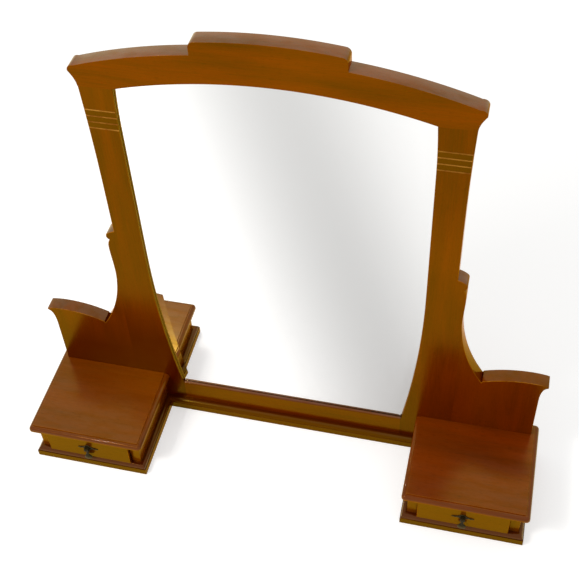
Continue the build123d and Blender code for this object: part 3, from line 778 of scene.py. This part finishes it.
# %% Wings
wing_edge, wing_top, valley_z = 485, 255.5, 234
valley_x = sweep_middle_x - sqrt(sweep_bow**2 - (sweep_top - valley_z) ** 2)
crown_x, wing_arris, lid_reach = wing_edge - 19, 1.5, 110
beak, beak_under = (wing_edge + 11.5, wing_top - 3.2), (wing_edge + 11, wing_top - 8.7)

bm, pen = start_outline(stile_edge, base_top)
first = pen
pen = line(bm, pen, stile_edge, sweep_foot)
pen = arc(bm, pen, valley_x, valley_z, -sweep_bow, 16)
pen = line(bm, pen, valley_x + 2, valley_z + 3.8)
pen = arc(bm, pen, crown_x, wing_top, flat_bow(crown_x - valley_x - 2, wing_top - valley_z - 3.8), 10)
pen = arc(bm, pen, *beak, flat_bow(beak[0] - crown_x, wing_top - beak[1]), 4)
pen = arc(bm, pen, *beak_under, 2.85, 6)
pen = lath(bm, pen, wing_edge + 4, wing_top - 17.5, (-1, -0.6), (-0.35, -1), 4)
pen = lath(bm, pen, wing_edge, wing_top - 50.5, (-0.35, -1), (0, -1), 5)
pen = line(bm, pen, wing_edge, base_top)
close(bm, pen, first)
thicken(bm, 0, board)
round_edges(bm, lambda p: (p.y < 0.1 or p.y > board - 0.1) and p.x > stile_edge + 0.5 and p.z > 100 and
            not (p.y > board - 0.1 and p.z < lid_reach), wing_arris)
wings = {"left": mirror_across(bm), "right": bm}
for side, shape in wings.items():
    place(shape, "wing_board_" + side, wing_woods[side], "case", "wood_case", "wing_" + side)

# %% [markdown]
# ## Mirror glass
# The glass is silvered plate with a wide, shallow bevel ground all round, so the reflection is
# shifted in a band along the wood. Insetting the front face draws that band, and leaving the
# outer ring a little further back makes its slope. Silver is a metal with almost no roughness;
# the years have left a faint haze in it. A studio around it isn't white all over, so a slanting
# ramp in the silver's colour stands for the soft grey band that it mirrors.

# %% Glass
BAND_SLANT, BAND_WIDTH = 0.297, 0.5
BAND_STOPS = ((0.0, 1.0), (0.18, 0.80), (0.35, 0.62), (0.52, 0.52), (0.66, 0.57), (0.82, 0.72),
              (1.0, 0.86))


def silvered():
    """Silver with a little haze, and the slanting grey ramp in its colour, a painted reflection of a soft
    grey band.
    """
    made, tree, shader = fresh_shader("silvered_glass")
    across = tree.nodes.new("ShaderNodeTexCoord")
    parts = node(tree, "ShaderNodeSeparateXYZ", Vector=across.outputs["Object"]).outputs
    slant = calculate(tree, "MULTIPLY", parts["Z"], BAND_SLANT)
    place_in = calculate(tree, "ADD", parts["X"], slant)
    # Painted reflection: a slanting grey band laid into the silver's colour.
    mirrored_band = node(tree, "ShaderNodeValToRGB", Fac=spread(tree, place_in, 0.0, BAND_WIDTH))
    mirrored_band.color_ramp.interpolation = "B_SPLINE"
    for _ in range(len(BAND_STOPS) - 2):
        mirrored_band.color_ramp.elements.new(0.5)
    for stop, (at, grey) in zip(mirrored_band.color_ramp.elements, BAND_STOPS):
        stop.position = at
        stop.color = (grey, grey, grey, 1)
    fine = grain(tree, "X", 8, 1.0, 90, 4, 0.6)
    wave = grain(tree, "X", 1, 1.0, 7, 1, 0.4)
    feed(tree, shader, Metallic=1.0, Base_Color=mirrored_band.outputs["Color"],
         Roughness=spread(tree, fine, 0.4, 0.75, 0.004, 0.03), Normal=relief(tree, wave, 0.02, 0.001))
    return made


glass_gap, glass_thick, bevel_width, bevel_depth = 1.5, 4, 23, 1.3
bm = opening_outline(rebate - glass_gap)
thicken(bm, lip + bevel_depth, lip + glass_thick)
front = [face for face in bm.faces if face.normal.y < -0.9]
bmesh.ops.inset_region(bm, faces=front, thickness=bevel_width, depth=bevel_depth, use_even_offset=True)
place(bm, "bevelled_glass", silvered(), "case", "mirror_glass", "mirror_glass", smooth=0.5)

# %% [markdown]
# ## Base
# Three boards make the base, mitred where they meet. Each has a plain band, a hair-thin ledge and
# a quarter round above it. The plan is drawn with the pencil, turned to lie on the table and
# raised in two lifts; between them the points of the exposed sides are slid inwards to leave the
# ledge.

# %% Base
base_band, base_step, base_round, ledge_arris = 15, 1.2, 8.9, 0.4
base_outer, base_inner, base_front, centre_front = 496, 260, 189, 14


def lay_flat(bm):
    """Turns an outline from the upright plane to the table: its height becomes its depth."""
    bmesh.ops.rotate(bm, verts=bm.verts, cent=(0, 0, 0), matrix=Matrix.Rotation(-pi / 2, 3, "X"))


def top_face(bm):
    """The largest of the faces that lie highest."""
    return max(bm.faces, key=lambda face: (round(face.calc_center_median().z, 2), face.calc_area()))


def raise_top(bm, height):
    """Extrudes the top face up to a height and returns the new top's points."""
    top = top_face(bm)
    drawn = bmesh.ops.extrude_face_region(bm, geom=[top])
    bmesh.ops.delete(bm, geom=[top], context="FACES_ONLY")
    points = [item for item in drawn["geom"] if isinstance(item, bmesh.types.BMVert)]
    for point in points:
        point.co.z = height
    return points


def moulded_base(outline, exposed, slide):
    """A base board from its plan, the test for its exposed edges, and how its points step in."""
    bm, pen = start_outline(*outline[0])
    first = pen
    for x, y in outline[1:]:
        pen = line(bm, pen, x, y)
    close(bm, pen, first)
    lay_flat(bm)
    thicken(bm, 0, base_band, (0, 0, 1))
    for point in raise_top(bm, base_band):
        point.co += Vector((*slide(point.co), 0))
    raise_top(bm, base_top)
    bmesh.ops.dissolve_degenerate(bm, dist=0.01, edges=bm.edges[:])
    round_edges(bm, lambda p: p.z > base_top - 0.1 and exposed(p), base_round, 8)
    round_edges(bm, lambda p: abs(p.z - base_band) < 0.1 and exposed(p), ledge_arris, 2)
    return bm


mitre = board + centre_front + base_inner
side_plan = [(base_inner, -centre_front), (mitre, board), (base_outer, board), (base_outer, -base_front),
             (base_inner, -base_front)]


def side_slide(at):
    right = at.x > base_outer - 1
    if at.y > 0:
        return (-base_step, 0) if right else (0, 0)
    if at.y > -base_front + 1:
        return (base_step, base_step)
    return (-base_step, base_step) if right else (base_step, base_step)


base_right = moulded_base(side_plan, lambda p: p.y < -centre_front - 1 or p.x > base_outer - 2,
                          side_slide)
for side, shape in {"left": mirror_across(base_right), "right": base_right}.items():
    wood = varnished("wood_base_" + side, "X", 20 + len(side), deep=0.85, film=0.3)
    place(shape, "base_board_" + side, wood, "case", "wood_case", "base_" + side)

centre_plan = [(-mitre, board), (mitre, board), (base_inner, -centre_front), (-base_inner, -centre_front)]
bm = moulded_base(centre_plan, lambda p: p.y < 0 and abs(p.x) < 1,
                  lambda at: (0, 0) if at.y > 0 else (copysign(base_step, at.x), base_step))
wood = varnished("wood_base_centre", "X", 23, deep=0.75, film=0.3)
place(bm, "base_board_centre", wood, "case", "wood_case", "base_centre")

# %% [markdown]
# ## Boxes
# Each box is two upright walls under a lid. The lid has a raised field and a rounded edge on the
# three sides that show; at the back it meets the frame and is notched round the wing's end.

# %% Walls and lids
lid_inner, lid_outer, lid_front, lid_top, lid_thick = 260, 500, 190, 96, 12
lid_step, lid_round, lid_corner, field_inset = 2, 7, 8, 9
lid_arris, field_arris, wall_arris, sunk = 0.6, 0.5, 1, 0.2
lid_under = lid_top - lid_thick
wall, wall_front, box_inner = 19, 176, 272


def upright_wall(x):
    bm, pen = start_outline(x, -wall_front)
    first = pen
    pen = line(bm, pen, x + wall, -wall_front)
    pen = line(bm, pen, x + wall, 0)
    pen = line(bm, pen, x, 0)
    close(bm, pen, first)
    lay_flat(bm)
    thicken(bm, base_top, lid_under, (0, 0, 1))
    round_edges(bm, lambda p: p.y < -wall_front + 0.1 and base_top + 1 < p.z < lid_under - 1,
                wall_arris, 3)
    return bm


def join(bm, other):
    """Adds another shape to this one."""
    mesh = bpy.data.meshes.new("joined")
    other.to_mesh(mesh)
    other.free()
    bm.from_mesh(mesh)
    bpy.data.meshes.remove(mesh)


def lid_field():
    """The thin raised panel in the middle of a lid, sunk a little into it."""
    inner, outer = lid_inner + field_inset, lid_outer - field_inset
    front, back = field_inset - lid_front, board - field_inset
    notch = wing_edge + sunk
    bm, pen = start_outline(inner, -sunk)
    first = pen
    for x, y in ((inner, front), (outer, front), (outer, back), (notch, back), (notch, -sunk)):
        pen = line(bm, pen, x, y)
    close(bm, pen, first)
    lay_flat(bm)
    thicken(bm, lid_top - lid_step - 0.5, lid_top, (0, 0, 1))
    round_edges(bm, lambda p: p.z > lid_top - 0.05 and (p.y < -1 or p.x > wing_edge + 1), field_arris, 3)
    return bm


def lid_board():
    """A lid with rounded corners, notched at the back round the end of the wing."""
    bm, pen = start_outline(lid_inner, 0)
    first = pen
    pen = line(bm, pen, lid_inner, -lid_front + lid_corner)
    pen = arc(bm, pen, lid_inner + lid_corner, -lid_front, -lid_corner, 6)
    pen = line(bm, pen, lid_outer - lid_corner, -lid_front)
    pen = arc(bm, pen, lid_outer, -lid_front + lid_corner, -lid_corner, 6)
    pen = line(bm, pen, lid_outer, board - lid_corner)
    pen = arc(bm, pen, lid_outer - lid_corner, board, -lid_corner, 6)
    pen = line(bm, pen, wing_edge, board)
    pen = line(bm, pen, wing_edge, 0)
    close(bm, pen, first)
    lay_flat(bm)
    thicken(bm, lid_under, lid_top - lid_step, (0, 0, 1))
    round_edges(bm, lambda p: p.z > lid_top - lid_step - 0.1 and not (
        p.y > -0.1 and lid_inner + 1 < p.x < wing_edge + 0.1), lid_round, 8)
    round_edges(bm, lambda p: p.z < lid_under + 0.1 and not (
        p.y > -0.1 and lid_inner + 1 < p.x < wing_edge + 0.1), lid_arris, 2)
    join(bm, lid_field())
    return bm


for wall_name, x in (("inner", box_inner), ("outer", wing_edge - wall)):
    shape = upright_wall(x)
    for side, made in {"left": mirror_across(shape), "right": shape}.items():
        seed = 30 + x / 50 + len(side)
        wood = varnished(f"wood_wall_{side}_{wall_name}", "Y", seed, golden=0.7)
        place(made, f"box_wall_{side}_{wall_name}", wood, "case", "wood_case",
              f"{side}_wall_{wall_name}")

shape = lid_board()
for side, made in {"left": mirror_across(shape), "right": shape}.items():
    golden = 0.35 if side == "left" else 0.15
    wood = varnished("wood_lid_" + side, "X", 40 + len(side), deep=-0.8, golden=golden, film=0.5,
                     haze=0.3)
    place(made, "box_lid_" + side, wood, "case", "wood_case", side + "_lid")

# %% [markdown]
# ## Drawers
# The drawer fronts are of the same wood as the frame, a yellower piece of it, their front edges
# slightly rounded.

# %% Drawer fronts
front_arris = 1.2
cavity_inner, cavity_outer = box_inner + wall, wing_edge - wall
box_middle = (cavity_inner + cavity_outer) / 2
drawer_low, drawer_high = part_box("right_drawer_front")


def drawer_front():
    low, high = drawer_low / MM, drawer_high / MM
    bm, pen = start_outline(low.x, low.z)
    first = pen
    pen = line(bm, pen, high.x, low.z)
    pen = line(bm, pen, high.x, high.z)
    pen = line(bm, pen, low.x, high.z)
    close(bm, pen, first)
    thicken(bm, low.y, high.y)
    round_edges(bm, lambda p: p.y < low.y + 0.1, front_arris, 4)
    return bm


shape = drawer_front()
for side, made in {"left": mirror_across(shape), "right": shape}.items():
    deep = 0.45 if side == "left" else 0.0
    wood = varnished("wood_drawer_" + side, "X", 50 + len(side), deep=deep, golden=0.85)
    place(made, "drawer_front_" + side, wood, side + "_drawer", "wood_drawer", side + "_drawer_front")

# %% [markdown]
# ## Pine
# Sides, backs and bottoms of the drawers are plain pale pine, because what doesn't show when a
# drawer is shut can be of the cheaper wood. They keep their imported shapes, dovetails and all, and
# only get a finish, and so do the backing board and the blocks that hold the glass.

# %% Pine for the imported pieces


def pine(name, along, seed):
    """Pale pine with its softer and harder rings, a little greyed."""
    made, tree, shader = fresh_shader(name)
    rings = grain(tree, along, seed, 0.06, 70, 2, 0.5, 0.8)
    fibre = grain(tree, along, seed, 0.03, 700, 3, 0.6)
    grey = grain(tree, along, seed + 4, 0.8, 9, 3, 0.5)
    share = spread(tree, rings, 0.35, 0.65)
    colour = blend(tree, share, (0.34, 0.19, 0.075, 1), (0.52, 0.34, 0.16, 1))
    share = spread(tree, fibre, 0.3, 0.7, 0.0, 0.35)
    colour = blend(tree, share, colour, (0.27, 0.145, 0.055, 1))
    share = spread(tree, grey, 0.45, 0.7, 0.0, 0.4)
    colour = blend(tree, share, colour, (0.20, 0.115, 0.05, 1))
    feed(tree, shader, Base_Color=colour, Roughness=spread(tree, fibre, 0.3, 0.7, 0.55, 0.75),
         Normal=relief(tree, fibre, 0.25, 0.0004))
    return made


def refinish(name, material):
    """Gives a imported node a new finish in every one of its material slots."""
    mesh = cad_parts[name].data
    if not mesh.materials:
        mesh.materials.append(material)
    for at in range(len(mesh.materials)):
        mesh.materials[at] = material


LENGTHWISE = ("drawer_side_inner", "drawer_side_outer")
CROSSWISE = ("drawer_back", "drawer_bottom", "drawer_stops")
for side in ("left", "right"):
    for parts, along, seed, place_in in ((LENGTHWISE, "Y", 60, "sides"), (CROSSWISE, "X", 62, "back")):
        wood = pine(f"pine_{place_in}_{side}", along, seed + len(side))
        for part in parts:
            refinish(f"{side}_{part}", wood)
refinish("backing_board", pine("pine_backing", "Z", 70))
refinish("glazing_blocks", pine("pine_blocks", "X", 71))
print("pine pieces:", 2 * len(LENGTHWISE + CROSSWISE) + 2)

# %% [markdown]
# ## Browned metal
# The pulls are small castings of brass that has gone almost black, brighter only where fingers
# rub them. That is a dark base under a fine noise for the skin, a few darker spots, and a paler
# tone on the points that were marked as raised.

# %% Metal finishes


def browned_metal(name, base, bright, roughness, seed):
    """Old metal: a dull brown skin, rubbed bright on its raised parts."""
    made, tree, shader = fresh_shader(name)
    skin = grain(tree, "X", seed, 1, 420, 4, 0.65)
    spots = grain(tree, "X", seed + 2, 1, 1300, 2, 0.5)
    darker = [part * 0.55 for part in base[:3]] + [1]
    colour = blend(tree, spread(tree, skin, 0.35, 0.65), base, darker)
    share = spread(tree, spots, 0.62, 0.72, 0, 0.5)
    colour = blend(tree, share, colour, (0.02, 0.022, 0.015, 1))
    patchy = spread(tree, skin, 0.3, 0.6, 0.2, 0.9)
    rub = calculate(tree, "MULTIPLY", marked(tree, "arris"), patchy)
    feed(tree, shader, Base_Color=blend(tree, rub, colour, bright), Metallic=0.4,
         Specular_Tint=(0.6, 0.45, 0.2, 1), Specular_IOR_Level=0.3,
         Roughness=spread(tree, skin, 0.3, 0.7, roughness, roughness + 0.2),
         Normal=relief(tree, skin, 0.3, 0.0002))
    return made


old_brass = browned_metal("browned_brass", (0.030, 0.022, 0.008, 1), (0.15, 0.11, 0.04, 1), 0.42, 80)
dull_steel = browned_metal("dull_steel", (0.30, 0.28, 0.25, 1), (0.5, 0.48, 0.45, 1), 0.35, 84)
print("metals:", old_brass.name, dull_steel.name)

# %% [markdown]
# ## Pulls
# A pull is a plate with two drooping arms, a forked post with a shank through the drawer front,
# and a bell-shaped drop on a pin. The plate and the fork are drawn and extruded. The drop is a
# turned profile spun round and pressed flat, as such castings are, with a drilled eye that sits
# in the fork's slot. The fork's upper edge is rounded less than the roof over the slot is thick.

# %% Pulls
drawer_face = -drawer_low.y / MM
pull_height, pivot_out, plate_thick = 57, 7, 1.5
pivot_y = -drawer_face - pivot_out
plate_half, plate_arris = 21.5, 0.45
fork_reach, nose_round, brow_round, shoulder_round = 2.9, 2.2, 1.4, 1.2
slot_half, slot_roof, head_half, head_top, head_foot = 2.6, 3.35, 4.6, 5, 3.8
eye_radius, eye_half, pin_hole, drop_press = 3, 2.5, 1.05, 0.55


def pull_plate():
    """The backplate: half its outline from the top to the foot, mirrored."""
    bm, pen = start_outline(0, 7.5)
    pen = arc(bm, pen, 6.2, 3.6, flat_bow(6.2, 3.9), 6)
    pen = lath(bm, pen, plate_half - 0.8, -1.4, (0.7, -0.75), (1, -0.2), 6)
    pen = arc(bm, pen, plate_half - 0.8, -2.9, 0.76, 5)
    pen = lath(bm, pen, 6.2, -4.6, (-1, 0.05), (-0.8, -0.6), 6)
    pen = arc(bm, pen, 0, -8, flat_bow(6.2, 3.4), 6)
    mirror_outline(bm)
    thicken(bm, -drawer_face - plate_thick, -drawer_face)
    round_edges(bm, lambda p: p.y < -drawer_face - plate_thick + 0.1, plate_arris, 3)
    bmesh.ops.translate(bm, verts=bm.verts, vec=(box_middle, 0, pull_height))
    return bm


def pull_post():
    """The forked head, a rounded block with its slot, seen from the front."""
    bm, pen = start_outline(slot_half, slot_roof)
    first = pen
    for x, z in ((slot_half, -head_foot), (head_half, -head_foot), (head_half, head_top),
                 (-head_half, head_top), (-head_half, -head_foot), (-slot_half, -head_foot),
                 (-slot_half, slot_roof)):
        pen = line(bm, pen, x, z)
    close(bm, pen, first)
    nose = pivot_y - fork_reach
    thicken(bm, nose, -drawer_face - plate_thick)
    round_edges(bm, lambda p: p.y < nose + 0.1 and p.z < 0.2 - head_foot, nose_round, 5)
    round_edges(bm, lambda p: p.y < nose + 0.1 and p.z > head_top - 0.2, brow_round, 5)
    round_edges(bm, lambda p: abs(p.z - head_top) < 0.1 and abs(p.x) > head_half - 0.2,
                shoulder_round, 4)
    bmesh.ops.translate(bm, verts=bm.verts, vec=(box_middle, 0, pull_height))
    return bm


def pull_drop():
    """A turned bell, pressed to about half its depth, under a drilled eye."""
    bm = bmesh.new()
    mark = bm.verts.layers.float.new("arris")
    profile = ((0.0, -27), (3.6, -26.9), (6.6, -26.2), (8.2, -24.6), (8.5, -23.4), (7.7, -21.2),
               (5.4, -17.4), (3.5, -13.6), (2.6, -10), (2.3, -6.5), (2.3, -2.2), (1.6, -1.6), (0.0, -1.5))
    pen = bm.verts.new((profile[0][0], 0, profile[0][1]))
    for x, z in profile[1:]:
        pen = line(bm, pen, x, z)
    bmesh.ops.spin(bm, geom=bm.verts[:] + bm.edges[:], cent=(0, 0, 0), axis=(0, 0, 1), angle=2 * pi,
                   steps=28, use_merge=True)
    bmesh.ops.remove_doubles(bm, verts=bm.verts[:], dist=0.01)
    bmesh.ops.scale(bm, vec=(1, drop_press, 1), verts=bm.verts[:])
    for point in bm.verts:
        if point.co.z < -21:
            point[mark] = 0.7
    cheek_place = Matrix.Translation((-eye_half, 0, 0)) @ Matrix.Rotation(pi / 2, 4, "Y")
    rims = [bmesh.ops.create_circle(bm, cap_ends=False, segments=28, radius=radius, matrix=cheek_place)
            for radius in (eye_radius, pin_hole)]
    loops = {edge for rim in rims for point in rim["verts"] for edge in point.link_edges}
    cheek = bmesh.ops.bridge_loops(bm, edges=list(loops))
    eye = bmesh.ops.extrude_face_region(bm, geom=cheek["faces"])
    moved = [item for item in eye["geom"] if isinstance(item, bmesh.types.BMVert)]
    bmesh.ops.translate(bm, verts=moved, vec=(2 * eye_half, 0, 0))
    bmesh.ops.recalc_face_normals(bm, faces=bm.faces[:])
    bmesh.ops.translate(bm, verts=bm.verts, vec=(box_middle, pivot_y, pull_height))
    return bm


for part, shape, body in (("plate", pull_plate(), "drawer"), ("post", pull_post(), "drawer"),
                          ("drop", pull_drop(), "pull")):
    for side, made in {"left": mirror_across(shape), "right": shape}.items():
        place(made, f"pull_{part}_cast_{side}", old_brass, f"{side}_{body}", "pull_metal",
              f"{side}_pull_{part}")
for side in ("left", "right"):
    for part in ("pull_nails", "pull_pin", "pull_nut"):
        refinish(f"{side}_{part}", old_brass)
for name in ("base_screws", "backing_screws"):
    refinish(name, dull_steel)
